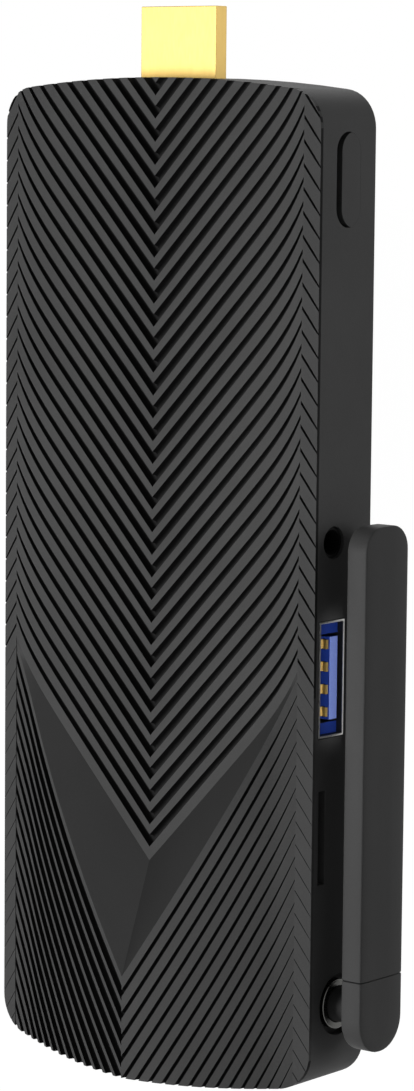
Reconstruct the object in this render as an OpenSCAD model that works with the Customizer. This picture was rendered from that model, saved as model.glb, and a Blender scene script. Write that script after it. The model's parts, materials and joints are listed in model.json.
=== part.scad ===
// Stick computer with a plug on its upper end, a ribbed front cover and a folding side antenna.
// Lengths are in millimetres. The origin is where the plug leaves the upper end of the body,
// on the plug's axis: +Z runs up along the plug, -Y is the ribbed front, +X the side with the ports.
// Heights named _z are measured up from the lower end, depths named _y back from the front edge.

/* [Body] */
// Width of the body
body_w = 58; // [56:0.5:62]
// Height of the body on its centre line
body_h = 144; // [142:0.5:152]
// Depth from the front edge of the side walls to the flat back
body_d = 12.9; // [12.5:0.1:14]
// How far the arched ends fall away from the middle to the side walls
end_arch = 2.1; // [1.5:0.1:2.6]
// Radius of the four corners of the outline
corner_r = 5.5; // [4.5:0.25:6.5]
// Thickness of the side, end and back walls
wall = 1.8; // [1.5:0.1:2]
// Clearance between the cover and the case it drops into
cover_fit = 0.15; // [0.1:0.05:0.3]

/* [Front cover] */
// Height of the cover's visible edge
cover_rim = 0.35; // [0.3:0.05:0.5]
// Thickness of the plate that reaches into the case
cover_plate = 0.45; // [0.35:0.05:0.5]
// Crown of the upper face at the centre line, in front of the side walls
crown_h = 0.95; // [0.8:0.05:1.2]
// Height of the upper face where the shoulders begin
shoulder_h = 0.62; // [0.55:0.01:0.75]
// Width of the sloping shoulders beside the ribs
shoulder_w = 2.6; // [2:0.1:3.5]
// Height of the ridge of the raised lower face
ridge_h = 7; // [6:0.1:8]
// Height of the raised lower face at the side walls
ridge_edge_h = 0.75; // [0.6:0.05:1]
// Height above the lower end of the upper point of the vee
vee_upper_z = 31.2; // [29:0.2:34]
// Height above the lower end of the lower point of the vee
vee_lower_z = 15.2; // [13:0.2:18]
// Height above the lower end of the outer ends of the vee
vee_outer_z = 59.5; // [57:0.5:63]
// Skin of the hollow raised face
ridge_skin = 1.8; // [1.5:0.1:2.2]

/* [Ribs] */
// Vertical distance from groove to groove
rib_pitch = 3.27; // [3:0.01:3.6]
// Width of a groove
groove_w = 0.65; // [0.5:0.05:0.8]
// Depth of a groove
groove_d = 0.6; // [0.4:0.05:0.7]
// Rise of an upper groove for each millimetre away from the centre line
upper_slope = 1.16; // [1:0.01:1.3]
// Rise of a lower groove for each millimetre away from the centre line
lower_slope = 1.75; // [1.6:0.01:1.9]

/* [Plug] */
// Width of the plug's metal shell
plug_w = 13.9; // [13.7:0.05:14]
// Thickness of the plug's metal shell
plug_t = 4.45; // [4.4:0.05:4.55]
// Length of the shell outside the body
plug_out = 10.1; // [9.5:0.1:12]
// Length of the shell inside the body
plug_in = 5; // [4.5:0.1:5.4]
// Width of the shell across its narrow side
plug_narrow_w = 10.4; // [10:0.1:11]
// Height of the shell's straight sides
plug_straight = 2.3; // [2:0.1:2.6]
// Thickness of the shell's sheet metal
plug_sheet = 0.3; // [0.25:0.05:0.35]
// Distance of the plug's axis behind the front edge of the side walls
plug_y = 6.26; // [6.2:0.02:6.5]

/* [Board] */
// Distance from the side of the body to the main board's edge
board_clear = 4.5; // [4:0.1:5.5]
// Thickness of the main board
board_t = 1.2; // [1:0.1:1.6]
// Height of the board's lower edge
board_low_z = 21; // [20:0.5:22.5]
// Distance of the assembly screws from the centre line
screw_x = 20; // [19:0.5:21]
// Height of the lower pair of assembly screws
screw_low_z = 26; // [25:0.5:27]
// Distance of the upper pair of assembly screws below the upper end
screw_drop = 32; // [29:0.5:35]
// Diameter of the screws
screw_d = 2; // [1.6:0.1:2.2]
// Diameter of the screw heads
screw_head_d = 3.8; // [3.6:0.1:4.2]
// Diameter of the screw posts
post_d = 5; // [4.6:0.1:5.4]

/* [Ports] */
// Distance of the power button's centre below the upper end
button_drop = 14; // [13.5:0.5:15]
// Length of the power button
button_l = 13.1; // [12:0.1:13.5]
// Width of the power button
button_w = 5.3; // [4.6:0.1:5.5]
// Gap round the power button
button_gap = 0.1; // [0.05:0.05:0.3]
// Width of the finger notch along the button's front side
button_notch = 1.2; // [0.8:0.1:1.6]
// How far the button stands out of the wall
button_proud = 0.05; // [0:0.05:0.5]
// Travel of the power button
button_travel = 0.5; // [0.3:0.05:0.6]
// Height of the audio jack's centre
jack_z = 79.5; // [79:0.5:81]
// Depth of the audio jack's axis
jack_y = 4; // [3.9:0.05:4.2]
// Bore of the audio jack
jack_bore = 3.6; // [3.5:0.05:3.7]
// Diameter of the jack's round nose
jack_nose = 4.4; // [4.2:0.1:4.7]
// Height of the data port's centre
data_z = 60.3; // [59.5:0.1:61]
// Length of the data port's mouth
data_l = 12.5; // [12.4:0.05:12.6]
// Width of the data port's mouth
data_w = 5.12; // [5.05:0.01:5.2]
// Sheet thickness of the data port's shell
data_sheet = 0.3; // [0.25:0.05:0.35]
// Depth of the data port's centre
data_y = 3.9; // [3.85:0.05:4.1]
// Length of the data port's shell into the body
data_in = 12; // [11:0.5:13]
// How far the wide rim reaches past the mouth at each end
data_lip = 2; // [1:0.1:2.2]
// Depth of the wide rim in front of the mouth
data_tray = 1.2; // [0.8:0.1:1.4]
// Height of the card slot's centre
card_z = 37.85; // [37.5:0.05:39]
// Length of the card slot
card_l = 13.4; // [12.6:0.1:13.8]
// Width of the card slot
card_w = 1.5; // [1.3:0.1:1.6]
// Depth of the card slot's centre
card_y = 2; // [2:0.05:2.3]
// Distance of the power inlet's centre below the upper end
inlet_drop = 49; // [45:0.5:52]
// Length of the power inlet's mouth
inlet_l = 8.94; // [8.9:0.02:9]
// Width of the power inlet's mouth
inlet_w = 3.26; // [3.2:0.02:3.3]

/* [Antenna] */
// Height of the hinge's axis
hinge_z = 13.2; // [12.8:0.1:13.8]
// Distance of the hinge's axis behind the middle of the side wall
hinge_off = 0.15; // [0:0.05:0.3]
// Diameter of the turning neck
neck_d = 5; // [4.6:0.1:5.2]
// Radial running clearance of the neck
neck_fit = 0.05; // [0.03:0.01:0.08]
// Outer diameter of the collar's sleeve
sleeve_d = 6.4; // [6.2:0.1:6.6]
// Diameter of the collar's flange
collar_d = 7.2; // [7:0.1:7.6]
// Diameter of the round recess in the wall
recess_d = 8.9; // [8.4:0.1:9.4]
// Depth of the round recess
recess_in = 1.2; // [0.8:0.05:1.3]
// Gap between the side wall and the antenna
antenna_gap = 4; // [3.5:0.1:5]
// Thickness of the antenna
antenna_t = 3.6; // [3.2:0.1:4.2]
// Width of the antenna
antenna_w = 9.8; // [9:0.1:11]
// Length of the antenna above the hinge's axis
antenna_up = 69; // [60:0.5:80]
// Length of the antenna below the hinge's axis
antenna_down = 5.7; // [5.4:0.1:6.5]
// Height of the seam between base and blade above the hinge's axis
seam_up = 4.9; // [4.6:0.1:6]
// Radius of the corners at the antenna's tip
antenna_r = 3.5; // [2.5:0.1:4]
// Radius of the corners at the antenna's hinge end
antenna_low_r = 4.7; // [3.5:0.1:4.8]
// Radius of the antenna's long edges
antenna_edge_r = 1; // [0.6:0.1:1.3]

/* [Hidden] */
$fn = 64;
// How far a cut runs past the faces it opens
cut = 1;
// Clearance round a port in its opening, and round a part in a cut-out of the board
port_fit = 0.1;
board_fit = 0.2;
// Free play of a screw in its holes and of a part that slides
screw_fit = 0.1;
// Clearance of round parts that are pressed or moulded into each other
press_gap = 0.02;

half_w = body_w / 2;
inner_x = half_w - wall;
back_in = body_d - wall;
end_r = (half_w * half_w + end_arch * end_arch) / (2 * end_arch);
rib_reach = half_w - shoulder_w;
plate_y = cover_rim + cover_plate;
board_w = body_w - 2 * board_clear;
board_y = plug_y - board_t / 2;
board_back = board_y + board_t;
// The board stops at the foot of the plug's insulator
insulator_foot = 0.6;
board_top_z = body_h - plug_in - insulator_foot;
screw_high_z = body_h - screw_drop;
button_z = body_h - button_drop;
inlet_z = body_h - inlet_drop;
hinge_y = body_d / 2 + hinge_off;
screw_spots = [for (z = [screw_low_z, screw_high_z]) for (s = [-1, 1]) [s * screw_x, z]];

// Chips on the back of the board, under the pad and the spreader
chip_t = 1;
spreader_t = 1.5;
chip_z = 76;
die = [16, 16];
spreader = [33, 50];
pad = [14, 14];
memory = [6.5, 12];
storage = [12, 10];

// Switch behind the power button
flange_t = 0.6;
flange_rim = 0.7;
flange_x = inner_x - screw_fit;
switch_x = flange_x - flange_t - 2 * button_travel;
switch_l = 7.6;
switch_t = 3.8;
switch_in = 6;
plunger_d = 2;
plunger_in = 1.2;

// Socket bodies behind the openings
jack_body = [11.5, 4.8, 6];
jack_x = inner_x - board_fit;
nose_x = half_w - 0.4;
data_x = half_w - data_in;
data_front = data_y - data_w / 2;
data_lip_l = data_l + 2 * data_lip;
data_lip_w = data_w + 2 * data_sheet;
tongue_t = 1.84;
tongue_l = 11.8;
tongue_x = half_w - 1.6;
tongue_y = data_front + 2.7;
card_in = 14.5;
card_x = inner_x - board_fit;
card_sheet = 0.2;
card_front = card_y - card_w / 2;
inlet_sheet = 0.25;
inlet_in = 7.3;
inlet_y = board_y - inlet_w / 2 - inlet_sheet;

// Hinge
boss_wall = 1.6;
boss_d = sleeve_d + 2 * boss_wall;
boss_in = 2;
boss_x = inner_x - boss_in;
collar_x = half_w - recess_in;
collar_t = recess_in;
clip_t = 0.5;
clip_play = 0.05;
clip_x = boss_x - 2 * clip_play - clip_t;
clip_d = 7.4;
neck_root_d = neck_d - 0.8;
neck_x = clip_x - 0.7;
cable_d = 1.1;
cable_bore = 2.2;
antenna_x = half_w + antenna_gap;
seam_z = hinge_z + seam_up;
element = [0.8, 5.6, 58];
element_fit = 0.05;

charcoal = [0.2, 0.2, 0.2];
black = [0.06, 0.06, 0.06];
gold = [0.83, 0.68, 0.32];
steel = [0.75, 0.75, 0.76];
board_green = [0.05, 0.2, 0.12];
port_blue = [0.15, 0.33, 0.62];

// Moves a piece from the body's own measures into the frame at the plug
module seat() translate([0, -plug_y, -body_h]) children();

// Outline of the body seen from the front: arched ends, straight sides, round corners
module outline(inset = 0) {
  half = half_w - inset;
  r = corner_r - inset;
  arc_r = end_r - inset;
  fx = half - r;
  fz = body_h - end_r + sqrt((arc_r - r) * (arc_r - r) - fx * fx);
  tangent_x = fx * arc_r / (arc_r - r);
  intersection() {
    translate([0, body_h - end_r]) circle(arc_r, $fn = 360);
    translate([0, end_r]) circle(arc_r, $fn = 360);
    translate([-tangent_x, -cut]) square([2 * tangent_x, body_h + 2 * cut]);
  }
  translate([-half, body_h - fz]) square([2 * half, 2 * fz - body_h]);
  for (s = [-1, 1]) for (z = [fz, body_h - fz]) translate([s * fx, z]) circle(r);
}

// Plate of the outline's shape between two depths
module slab(y0, y1, inset = 0)
  translate([0, y1, 0]) rotate([90, 0, 0]) linear_extrude(y1 - y0) outline(inset);

// Block between two corners, and block on a face of the board
module block(a, b) translate(a) cube(b - a);
module chip(x, z, size, y0, y1)
  block([x - size[0] / 2, y0, z - size[1] / 2], [x + size[0] / 2, y1, z + size[1] / 2]);

// Rod along X and rod along Y
module rod_x(x0, x1, y, z, d) translate([x0, y, z]) rotate([0, 90, 0]) cylinder(d = d, h = x1 - x0);
module rod_y(y0, y1, x, z, d) translate([x, y0, z]) rotate([-90, 0, 0]) cylinder(d = d, h = y1 - y0);

// Bar with round ends along X, its long side along Z
module slot_x(x0, x1, y, z, l, w) {
  straight = (l - w) / 2;
  block([x0, y - w / 2, z - straight], [x1, y + w / 2, z + straight]);
  for (s = [-1, 1]) rod_x(x0, x1, y, z + s * straight, w);
}

// Rectangle with round corners, from its middle
module round_rect(size, r) {
  square([size[0], size[1] - 2 * r], center = true);
  square([size[0] - 2 * r, size[1]], center = true);
  for (x = [-1, 1]) for (y = [-1, 1]) translate([x * (size[0] / 2 - r), y * (size[1] / 2 - r)]) circle(r);
}

// Half space behind a plane through a point
module half_space(p, n) {
  reach = 3 * body_h;
  translate(p) rotate([0, acos(n[2] / norm(n)), atan2(n[1], n[0])])
    translate([-reach / 2, -reach / 2, 0]) cube(reach);
}

// Slab of ribs for one half of a face. Its section is a comb, drawn along the grooves:
// height is the face above the front edge on the centre line, tilt its fall towards the side,
// and first and count place the grooves by their height on the centre line.
module ribs(height, tilt, slope, first, count) {
  lean = atan(slope * cos(tilt));
  pitch = rib_pitch * cos(lean);
  start = first * cos(lean);
  reach = 2 * body_h;
  teeth = [for (k = [0 : count - 1]) for (p = [[-1, 0], [-1, 1], [1, 1], [1, 0]])
    [start + k * pitch + p[0] * groove_w / 2, p[1] * groove_d]];
  thick = ridge_h + cover_rim;
  translate([0, -height, 0]) rotate([0, 0, tilt]) rotate([0, 90 - lean, 0]) mirror([1, 0, 0])
    translate([0, 0, -reach / 2]) linear_extrude(reach)
      polygon(concat([[-reach, 0]], teeth, [[reach, 0], [reach, thick], [-reach, thick]]));
}

// Right half of the upper face, and the sloping shoulder beside it
module upper_half(stagger) {
  tilt = atan((crown_h - shoulder_h) / rib_reach);
  count = floor((body_h - vee_upper_z) / rib_pitch);
  intersection() {
    ribs(crown_h, tilt, upper_slope, vee_upper_z + (0.5 + stagger) * rib_pitch, count);
    block([0, -crown_h - cut, -cut], [rib_reach, cover_rim, body_h + cut]);
  }
  translate([0, 0, -cut]) linear_extrude(body_h + 2 * cut) polygon([[rib_reach, -shoulder_h],
    [half_w + cut, 0], [half_w + cut, cover_rim], [rib_reach, cover_rim]]);
}

// Right half of the raised lower face, cut off above by its facet of the vee
module ridge_body(shift) {
  tip = [0, shift - crown_h, vee_upper_z];
  outer = [rib_reach, shift - shoulder_h, vee_outer_z];
  low = [0, shift - ridge_h, vee_lower_z];
  intersection() {
    block([0, -ridge_h - cut, -cut], [half_w + cut, cover_rim, body_h]);
    half_space(tip, cross(outer - tip, low - tip));
  }
}
ridge_tilt = atan((ridge_h - ridge_edge_h) / half_w);
module lower_half(stagger) {
  count = floor((vee_lower_z + lower_slope * half_w) / rib_pitch);
  first = vee_lower_z - (count - 0.5 - stagger) * rib_pitch;
  intersection() {
    ribs(ridge_h, ridge_tilt, lower_slope, first, count);
    ridge_body(0);
  }
}
// Hollow behind one half of the ridge, between the lower screw posts
module ridge_hollow() {
  side = screw_x - post_d / 2 - wall / 2;
  front = ridge_h - ridge_skin;
  intersection() {
    block([-cut / 100, -ridge_h, 2 * wall], [side, plate_y + cut, body_h]);
    ridge_body(ridge_skin);
    translate([0, 0, -cut]) linear_extrude(body_h) polygon([[-cut, -front], [0, -front],
      [half_w, ridge_skin - ridge_edge_h], [half_w, plate_y + cut], [-cut, plate_y + cut]]);
  }
}

module front_cover() color(charcoal) difference() {
  union() {
    difference() {
      union() {
        intersection() {
          slab(-ridge_h - cut, cover_rim);
          for (s = [0, 1]) mirror([s, 0, 0]) {
            upper_half((1 - s) / 2);
            lower_half((1 - s) / 2);
          }
        }
        slab(cover_rim, plate_y, wall + cover_fit);
      }
      for (s = [0, 1]) mirror([s, 0, 0]) ridge_hollow();
    }
    for (p = screw_spots) rod_y(cover_rim, board_y, p[0], p[1], post_d);
  }
  for (p = screw_spots) rod_y(plate_y, board_y + cut, p[0], p[1], screw_d + 2 * screw_fit);
}

module rear_case() color(charcoal) difference() {
  union() {
    difference() {
      slab(cover_rim, body_d);
      slab(cover_rim - cut, back_in, wall);
    }
    for (p = screw_spots) rod_y(board_back, back_in + wall / 2, p[0], p[1], post_d);
    rod_x(boss_x, inner_x + wall / 4, hinge_y, hinge_z, boss_d);
  }
  translate([0, plug_y, body_h - 2 * wall]) linear_extrude(4 * wall) plug_section(-port_fit);
  slot_x(inner_x - cut, half_w + cut, plug_y, button_z, button_l + 2 * button_gap, button_w + 2 * button_gap);
  rod_x(inner_x - cut, half_w + cut, jack_y, jack_z, jack_nose + 2 * port_fit);
  block([inner_x - cut, data_y - data_lip_w / 2 - port_fit, data_z - data_lip_l / 2 - port_fit],
    [half_w + cut, data_y + data_lip_w / 2 + port_fit, data_z + data_lip_l / 2 + port_fit]);
  block([inner_x - cut, card_front, card_z - card_l / 2],
    [half_w + cut, card_front + card_w, card_z + card_l / 2]);
  slot_x(-half_w - cut, -inner_x + cut, inlet_y, inlet_z, inlet_l + 2 * (inlet_sheet + port_fit),
    inlet_w + 2 * (inlet_sheet + port_fit));
  rod_x(collar_x, half_w + cut, hinge_y, hinge_z, recess_d);
  rod_x(boss_x - cut, half_w, hinge_y, hinge_z, sleeve_d + 2 * press_gap);
  for (p = screw_spots) {
    rod_y(board_back - cut, body_d + cut, p[0], p[1], screw_d + 2 * screw_fit);
    rod_y(body_d - head_t, body_d + cut, p[0], p[1], screw_head_d + 2 * screw_fit);
  }
}

// Flat-headed screws that clamp case, board and cover together from the back
head_t = 1;
module case_screws() color(steel) for (p = screw_spots) difference() {
  union() {
    rod_y(plate_y + screw_d / 2, body_d - head_t + screw_fit, p[0], p[1], screw_d);
    rod_y(body_d - head_t, body_d - screw_fit, p[0], p[1], screw_head_d);
  }
  for (turn = [0, 90]) translate([p[0], body_d, p[1]]) rotate([0, turn, 0])
    cube([screw_head_d * 0.6, head_t, screw_head_d * 0.16], center = true);
}

// Section of the plug: full width at the front, narrowed by two slopes at the back
module plug_section(inset = 0) {
  half = plug_w / 2 - inset;
  front = inset - plug_t / 2;
  back = plug_t / 2 - inset;
  narrow = plug_narrow_w / 2 - inset * 0.7;
  side = plug_straight - plug_t / 2;
  polygon([[-half, front], [half, front], [half, side], [narrow, back], [-narrow, back], [-half, side]]);
}

mouth = [11.6, 1.9];
mouth_in = 8.5;
mouth_front = -plug_t / 2 + 1.2;
tip_set = 0.5;
module plug_shell() color(gold) translate([0, plug_y, body_h - plug_in]) difference() {
  linear_extrude(plug_in + plug_out) plug_section();
  translate([0, 0, -cut]) linear_extrude(plug_in + plug_out + 2 * cut) plug_section(plug_sheet);
}
module plug_insulator() color(black) translate([0, plug_y, body_h]) difference() {
  translate([0, 0, -plug_in - insulator_foot]) linear_extrude(plug_in + insulator_foot + plug_out - tip_set)
    plug_section(plug_sheet);
  block([-mouth[0] / 2, mouth_front, plug_out - tip_set - mouth_in],
    [mouth[0] / 2, mouth_front + mouth[1], plug_out + cut]);
}
// Two rows of spring contacts on the walls of the plug's mouth
contact_t = 0.15;
contact_w = 0.4;
contact_l = 0.9 * mouth_in;
module plug_contacts() color(gold) translate([0, plug_y, body_h + plug_out - tip_set - mouth_in]) {
  for (x = [-4.5 : 4.5]) translate([x, mouth_front + contact_t / 2, contact_l / 2])
    cube([contact_w, contact_t, contact_l], center = true);
  for (x = [-4 : 4]) translate([x, mouth_front + mouth[1] - contact_t / 2, contact_l / 2])
    cube([contact_w, contact_t, contact_l], center = true);
}

module main_board() color(board_green) difference() {
  translate([0, board_back, (board_low_z + board_top_z) / 2]) rotate([90, 0, 0]) linear_extrude(board_t)
    round_rect([board_w, board_top_z - board_low_z], 2);
  for (p = screw_spots) rod_y(board_y - cut, board_back + cut, p[0], p[1], screw_d + 2 * screw_fit);
  block([data_x - board_fit, board_y - cut, data_z - data_l / 2 - data_sheet - board_fit],
    [half_w, board_back + cut, data_z + data_l / 2 + data_sheet + board_fit]);
  block([jack_x - jack_body[0] - board_fit, board_y - cut, jack_z - jack_body[2] / 2 - board_fit],
    [half_w, board_back + cut, jack_z + jack_body[2] / 2 + board_fit]);
  block([switch_x - switch_in - board_fit, board_y - cut, button_z - switch_l / 2 - board_fit],
    [half_w, board_back + cut, button_z + switch_l / 2 + board_fit]);
}

module processor() color(black) chip(0, chip_z, die, board_back, board_back + chip_t);
module memory_chips() color(black) for (s = [-1, 1])
  chip(s * (die[0] + memory[0] + 3) / 2, chip_z, memory, board_back, board_back + chip_t);
module storage_chip() color(black)
  chip(0, chip_z - (die[1] + storage[1]) / 2 - 3, storage, board_back, board_back + chip_t);
module thermal_pad() color([0.55, 0.6, 0.68])
  chip(0, chip_z, pad, board_back + chip_t, back_in - spreader_t);
module heat_spreader() color(steel) chip(0, chip_z, spreader, back_in - spreader_t, back_in);

// Front of the board: power supply, clock cell and radio
supply_x = -12;
supply_t = 2;
inductor = [4, 4];
inductor_pitch = 6;
battery_d = 12.5;
battery_z = 62;
radio_x = -13;
radio_z = 38;
radio = [14, 16];
radio_t = 1.8;
module power_inductors() color([0.25, 0.25, 0.25]) for (k = [-1 : 1])
  chip(supply_x, inlet_z + inductor_pitch * k, inductor, board_y - supply_t, board_y);
module clock_battery() color(steel) rod_y(board_y - supply_t, board_y, supply_x, battery_z, battery_d);
module radio_module() color(steel) chip(radio_x, radio_z, radio, board_y - radio_t, board_y);

// Aerial lead from the radio down past the board and through the hollow neck
cable_y = board_y - radio_t / 2;
cable_bend = 4;
cable_route = [[radio_x, cable_y, radio_z - radio[1] / 2], [radio_x, cable_y, hinge_z + cable_bend],
  [radio_x + cable_bend, hinge_y, hinge_z], [boss_x, hinge_y, hinge_z]];
module link(a, b) {
  v = b - a;
  translate(a) rotate([0, acos(v[2] / norm(v)), atan2(v[1], v[0])]) cylinder(d = cable_d, h = norm(v));
}
module antenna_cable() color(black) {
  for (k = [0 : len(cable_route) - 2]) link(cable_route[k], cable_route[k + 1]);
  for (k = [1 : len(cable_route) - 2]) translate(cable_route[k]) sphere(d = cable_d + 0.1);
}

module power_button() color(charcoal) {
  intersection() {
    slot_x(flange_x - flange_t, half_w + button_proud, plug_y, button_z, button_l, button_w);
    slot_x(flange_x - flange_t, half_w + button_proud, plug_y + button_notch, button_z, button_l, button_w);
  }
  slot_x(flange_x - flange_t, flange_x, plug_y, button_z,
    button_l + 2 * flange_rim, button_w + 2 * flange_rim);
}
module switch_plunger() color(black)
  rod_x(switch_x - plunger_in, flange_x - flange_t, plug_y, button_z, plunger_d);
module button_switch() color(steel) difference() {
  block([switch_x - switch_in, plug_y - switch_t / 2, button_z - switch_l / 2],
    [switch_x, plug_y + switch_t / 2, button_z + switch_l / 2]);
  rod_x(switch_x - plunger_in - 2 * button_travel, switch_x + cut, plug_y, button_z,
    plunger_d + 2 * screw_fit);
}

// Data port: shell with a wide rim, tongue and four contacts
module data_bar(x0, x1, grow) block([x0, data_y - data_w / 2 - grow, data_z - data_l / 2 - grow],
  [x1, data_y + data_w / 2 + grow, data_z + data_l / 2 + grow]);
module data_shell() color(steel) difference() {
  union() {
    data_bar(data_x, half_w - data_tray, data_sheet);
    block([half_w - data_tray - data_sheet, data_y - data_lip_w / 2, data_z - data_lip_l / 2],
      [half_w, data_y + data_lip_w / 2, data_z + data_lip_l / 2]);
  }
  data_bar(data_x - cut, half_w + cut, 0);
  block([half_w - data_tray, data_y - data_w / 2, data_z - data_lip_l / 2 + data_sheet],
    [half_w + cut, data_y + data_w / 2, data_z + data_lip_l / 2 - data_sheet]);
}
tongue_foot = 2;
module data_tongue() color(port_blue) {
  data_bar(data_x, data_x + tongue_foot, 0);
  block([data_x, tongue_y, data_z - tongue_l / 2], [tongue_x, tongue_y + tongue_t, data_z + tongue_l / 2]);
}
data_pitch = 3;
module data_contacts() color(gold) for (k = [-1.5 : 1.5]) translate([0, tongue_y, data_z + data_pitch * k])
  block([data_x + tongue_foot, -contact_t, -0.5], [tongue_x - 0.3, 0, 0.5]);

// Card socket raised off the board, with its sheet-metal cover
card_side = card_l / 2 + card_sheet + 0.4;
module card_socket() color(black) {
  block([card_x - card_in, card_front + card_w, card_z - card_side], [card_x, board_y, card_z + card_side]);
  block([card_x - card_in, card_front, card_z - card_side],
    [card_x - card_in + 1, board_y, card_z + card_side]);
}
module card_cover() color(steel) {
  block([card_x - card_in, card_front - card_sheet, card_z - card_side],
    [card_x, card_front, card_z + card_side]);
  for (s = [-1, 1]) translate([0, 0, card_z + s * (card_side + card_sheet / 2)])
    block([card_x - card_in, card_front - card_sheet, -card_sheet / 2], [card_x, board_y, card_sheet / 2]);
}

// Audio jack with a true bore, and its terminals on the board
module audio_jack() color(black) difference() {
  union() {
    block([jack_x - jack_body[0], jack_y - jack_body[1] / 2, jack_z - jack_body[2] / 2],
      [jack_x, jack_y + jack_body[1] / 2, jack_z + jack_body[2] / 2]);
    rod_x(jack_x - cut, nose_x, jack_y, jack_z, jack_nose);
  }
  rod_x(jack_x - jack_body[0] + 1, nose_x + cut, jack_y, jack_z, jack_bore);
}
terminal = [1, contact_t, 1.5];
module jack_terminals() color(steel) for (s = [-1, 1]) for (x = [4, 8])
  translate([jack_x - x, board_y - contact_t / 2, jack_z + s * (jack_body[2] + terminal[2]) / 2])
    cube(terminal, center = true);

// Power inlet on the left side
module inlet_bar(x0, x1, grow) slot_x(x0, x1, inlet_y, inlet_z, inlet_l + 2 * grow, inlet_w + 2 * grow);
module inlet_shell() color(steel) difference() {
  inlet_bar(-half_w, inlet_in - half_w, inlet_sheet);
  inlet_bar(-half_w - cut, inlet_in - half_w + cut, 0);
}
inlet_tab = [0.7, 6.7];
inlet_set = 0.8;
inlet_foot = 1.5;
module inlet_tongue() color(black) {
  inlet_bar(inlet_in - half_w - inlet_foot, inlet_in - half_w, -press_gap);
  block([inlet_set - half_w, inlet_y - inlet_tab[0] / 2, inlet_z - inlet_tab[1] / 2],
    [inlet_in - half_w, inlet_y + inlet_tab[0] / 2, inlet_z + inlet_tab[1] / 2]);
}

// Collar pressed into the wall, clip on the neck's inner end
module hinge_collar() color(steel) difference() {
  union() {
    rod_x(boss_x, collar_x, hinge_y, hinge_z, sleeve_d);
    rod_x(collar_x, collar_x + collar_t, hinge_y, hinge_z, collar_d);
  }
  rod_x(boss_x - cut, half_w + cut, hinge_y, hinge_z, neck_d + 2 * neck_fit);
}
module hinge_clip() color(steel) difference() {
  rod_x(clip_x, clip_x + clip_t, hinge_y, hinge_z, clip_d);
  rod_x(clip_x - cut, clip_x + clip_t + cut, hinge_y, hinge_z, neck_root_d + 2 * clip_play);
}

// Whole antenna from below the hinge to its tip, between two heights
module antenna_part(z0, z1) intersection() {
  translate([antenna_x + antenna_t / 2, hinge_y, z0]) linear_extrude(z1 - z0)
    round_rect([antenna_t, antenna_w], antenna_edge_r);
  translate([antenna_x, hinge_y, hinge_z]) rotate([90, 0, 90]) linear_extrude(antenna_t) {
    half = antenna_w / 2;
    translate([-half, antenna_low_r - antenna_down])
      square([antenna_w, antenna_up + antenna_down - antenna_r - antenna_low_r]);
    translate([antenna_r - half, 0]) square([antenna_w - 2 * antenna_r, antenna_up]);
    translate([antenna_low_r - half, -antenna_down]) square([antenna_w - 2 * antenna_low_r, antenna_up]);
    for (s = [-1, 1]) {
      translate([s * (half - antenna_r), antenna_up - antenna_r]) circle(antenna_r);
      translate([s * (half - antenna_low_r), antenna_low_r - antenna_down]) circle(antenna_low_r);
    }
  }
}
module antenna_base() color(charcoal) difference() {
  union() {
    antenna_part(hinge_z - antenna_down, seam_z);
    rod_x(neck_x, antenna_x + antenna_t / 4, hinge_y, hinge_z, neck_d);
  }
  difference() {
    rod_x(clip_x - clip_play, clip_x + clip_t + clip_play, hinge_y, hinge_z, neck_d + cut);
    rod_x(neck_x, boss_x, hinge_y, hinge_z, neck_root_d);
  }
  rod_x(neck_x - cut, antenna_x + antenna_t / 2, hinge_y, hinge_z, cable_bore);
}
module antenna_blade() color(charcoal) difference() {
  antenna_part(seam_z, hinge_z + antenna_up);
  translate([antenna_x + antenna_t / 2, hinge_y, seam_z]) cube([element[0] + 2 * element_fit,
    element[1] + 2 * element_fit, 2 * (element[2] + element_fit)], center = true);
}
module antenna_element() color([0.7, 0.42, 0.25])
  translate([antenna_x + (antenna_t - element[0]) / 2, hinge_y - element[1] / 2, seam_z]) cube(element);

seat() front_cover();
seat() rear_case();
seat() case_screws();
seat() plug_shell();
seat() plug_insulator();
seat() plug_contacts();
seat() main_board();
seat() processor();
seat() memory_chips();
seat() storage_chip();
seat() thermal_pad();
seat() heat_spreader();
seat() power_inductors();
seat() clock_battery();
seat() radio_module();
seat() antenna_cable();
seat() power_button();
seat() switch_plunger();
seat() button_switch();
seat() data_shell();
seat() data_tongue();
seat() data_contacts();
seat() card_socket();
seat() card_cover();
seat() audio_jack();
seat() jack_terminals();
seat() inlet_shell();
seat() inlet_tongue();
seat() hinge_collar();
seat() hinge_clip();
seat() antenna_base();
seat() antenna_blade();
seat() antenna_element();
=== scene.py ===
import bmesh
import bpy
import json
import math
from mathutils import Matrix, Vector

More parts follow.
